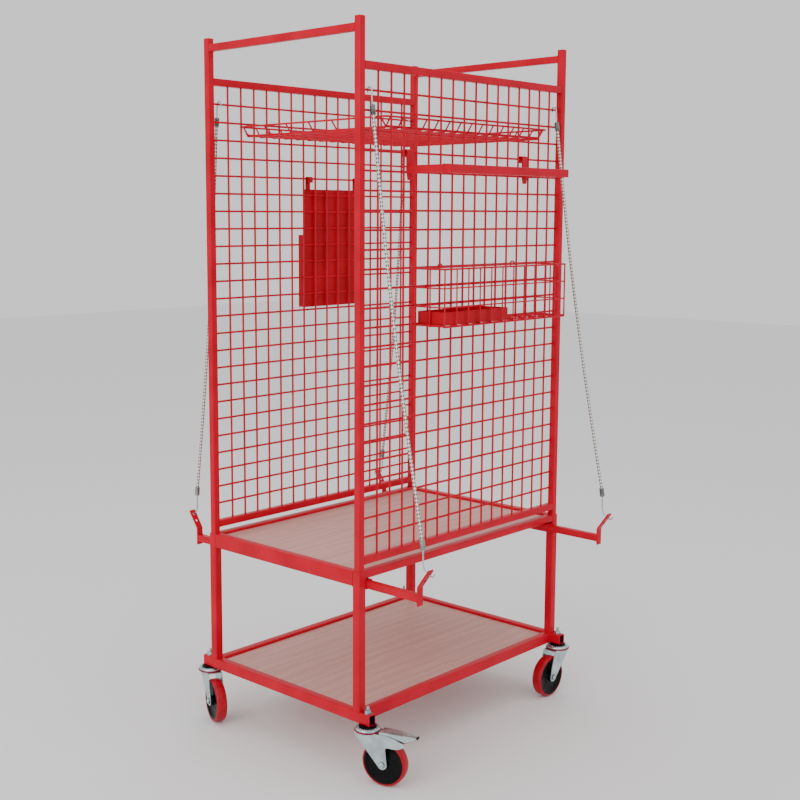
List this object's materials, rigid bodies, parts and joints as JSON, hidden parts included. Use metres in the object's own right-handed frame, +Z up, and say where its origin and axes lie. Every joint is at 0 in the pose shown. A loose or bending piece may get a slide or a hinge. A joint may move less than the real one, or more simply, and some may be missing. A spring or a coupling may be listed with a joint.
{
  "type": "mesh-sided parts trolley",
  "caption": "Tall wheeled parts trolley with wire mesh sides, two plywood decks, end handles, pull-out arms with elastic cords, and hung tray, basket and pocket.",
  "frame": {"origin": "on the floor, midway between the four leg axes", "axes": "+Z up, X along the mesh-sided long sides, Y across the trolley; -X is the end nearest the viewer, -Y the side the arms reach furthest out of"},
  "size_m": [0.9721, 0.9686, 1.98],
  "materials": {
    "red_powder_coat": "gloss",
    "red_wire": "gloss",
    "plywood": "satin",
    "zinc_plate": "satin",
    "zinc_bolt": "satin",
    "black_nylon": "satin",
    "red_polyurethane": "satin",
    "braided_cord": "matte",
    "hook_wire": "satin"
  },
  "bodies": {
    "frame": {"lower_frame": "red_powder_coat", "deck_lower": "plywood", "deck_upper": "plywood", "deck_rail_front": "red_powder_coat", "deck_rail_back": "red_powder_coat", "deck_rail_left": "red_powder_coat", "deck_rail_right": "red_powder_coat", "arm_guide_left": "red_powder_coat", "arm_guide_right": "red_powder_coat", "handle_left": "red_powder_coat", "handle_right": "red_powder_coat", "mesh_panel_front": "red_wire", "mesh_panel_back": "red_wire", "wire_rack": "red_wire", "hanging_bar": "red_powder_coat", "document_pocket": "red_powder_coat", "mesh_basket": "red_wire", "basket_tray": "red_powder_coat", "leg_LF": "red_powder_coat", "post_LF": "red_powder_coat", "cord_LF": "braided_cord", "cord_hook_top_LF": "hook_wire", "caster_stem_LF": "zinc_bolt", "leg_LB": "red_powder_coat", "post_LB": "red_powder_coat", "cord_LB": "braided_cord", "cord_hook_top_LB": "hook_wire", "caster_stem_LB": "zinc_bolt", "leg_RF": "red_powder_coat", "post_RF": "red_powder_coat", "cord_RF": "braided_cord", "cord_hook_top_RF": "hook_wire", "caster_stem_RF": "zinc_bolt", "leg_RB": "red_powder_coat", "post_RB": "red_powder_coat", "cord_RB": "braided_cord", "cord_hook_top_RB": "hook_wire", "caster_stem_RB": "zinc_bolt"},
    "arm_left_front": {"arm_LF": "red_powder_coat", "cord_hook_low_LF": "hook_wire"},
    "arm_left_back": {"arm_LB": "red_powder_coat", "cord_hook_low_LB": "hook_wire"},
    "arm_right_front": {"arm_RF": "red_powder_coat", "cord_hook_low_RF": "hook_wire"},
    "arm_right_back": {"arm_RB": "red_powder_coat", "cord_hook_low_RB": "hook_wire"},
    "caster_left_front": {"caster_yoke_LF": "zinc_plate"},
    "wheel_left_front": {"wheel_hub_LF": "black_nylon", "wheel_tread_LF": "red_polyurethane"},
    "caster_left_back": {"caster_yoke_LB": "zinc_plate"},
    "wheel_left_back": {"wheel_hub_LB": "black_nylon", "wheel_tread_LB": "red_polyurethane"},
    "caster_right_front": {"caster_yoke_RF": "zinc_plate"},
    "wheel_right_front": {"wheel_hub_RF": "black_nylon", "wheel_tread_RF": "red_polyurethane"},
    "caster_right_back": {"caster_yoke_RB": "zinc_plate"},
    "wheel_right_back": {"wheel_hub_RB": "black_nylon", "wheel_tread_RB": "red_polyurethane"},
    "brake_left_front": {"brake_pedal_LF": "zinc_plate"},
    "brake_right_back": {"brake_pedal_RB": "zinc_plate"}
  },
  "joints": [
    {"name": "arm_slide_left_front", "type": "slide", "parent": "frame", "child": "arm_left_front", "axis": [0, -1, 0], "range_m": [-0.165, 0.06], "deforming": ["cord_LF"]},
    {"name": "arm_slide_left_back", "type": "slide", "parent": "frame", "child": "arm_left_back", "axis": [0, 1, 0], "range_m": [-0.08, 0.14], "deforming": ["cord_LB"]},
    {"name": "arm_slide_right_front", "type": "slide", "parent": "frame", "child": "arm_right_front", "axis": [0, -1, 0], "range_m": [-0.165, 0.06], "deforming": ["cord_RF"]},
    {"name": "arm_slide_right_back", "type": "slide", "parent": "frame", "child": "arm_right_back", "axis": [0, 1, 0], "range_m": [-0.08, 0.14], "deforming": ["cord_RB"]},
    {"name": "caster_swivel_left_front", "type": "hinge", "parent": "frame", "child": "caster_left_front", "pos_m": [-0.44, -0.322, 0.148], "axis": [0, 0, 1], "continuous": true},
    {"name": "wheel_spin_left_front", "type": "hinge", "parent": "caster_left_front", "child": "wheel_left_front", "pos_m": [-0.42532, -0.37188, 0.0625], "axis": [0.9593, 0.2823, 0], "continuous": true},
    {"name": "caster_swivel_left_back", "type": "hinge", "parent": "frame", "child": "caster_left_back", "pos_m": [-0.44, 0.322, 0.148], "axis": [0, 0, 1], "continuous": true},
    {"name": "wheel_spin_left_back", "type": "hinge", "parent": "caster_left_back", "child": "wheel_left_back", "pos_m": [-0.45965, 0.27386, 0.0625], "axis": [0.9259, -0.3778, 0], "continuous": true},
    {"name": "caster_swivel_right_front", "type": "hinge", "parent": "frame", "child": "caster_right_front", "pos_m": [0.44, -0.322, 0.148], "axis": [0, 0, 1], "continuous": true},
    {"name": "wheel_spin_right_front", "type": "hinge", "parent": "caster_right_front", "child": "wheel_right_front", "pos_m": [0.388, -0.322, 0.0625], "axis": [0, -1, 0], "continuous": true},
    {"name": "caster_swivel_right_back", "type": "hinge", "parent": "frame", "child": "caster_right_back", "pos_m": [0.44, 0.322, 0.148], "axis": [0, 0, 1], "continuous": true},
    {"name": "wheel_spin_right_back", "type": "hinge", "parent": "caster_right_back", "child": "wheel_right_back", "pos_m": [0.39497, 0.296, 0.0625], "axis": [0.5, -0.866, 0], "continuous": true},
    {"name": "brake_pedal_left_front", "type": "hinge", "parent": "caster_left_front", "child": "brake_left_front", "pos_m": [-0.4225, -0.38148, 0.1345], "axis": [0.9593, 0.2823, 0], "range_deg": [0, 10]},
    {"name": "brake_pedal_right_back", "type": "hinge", "parent": "caster_right_back", "child": "brake_right_back", "pos_m": [0.38631, 0.291, 0.1345], "axis": [0.5, -0.866, 0], "range_deg": [0, 10]}
  ]
}
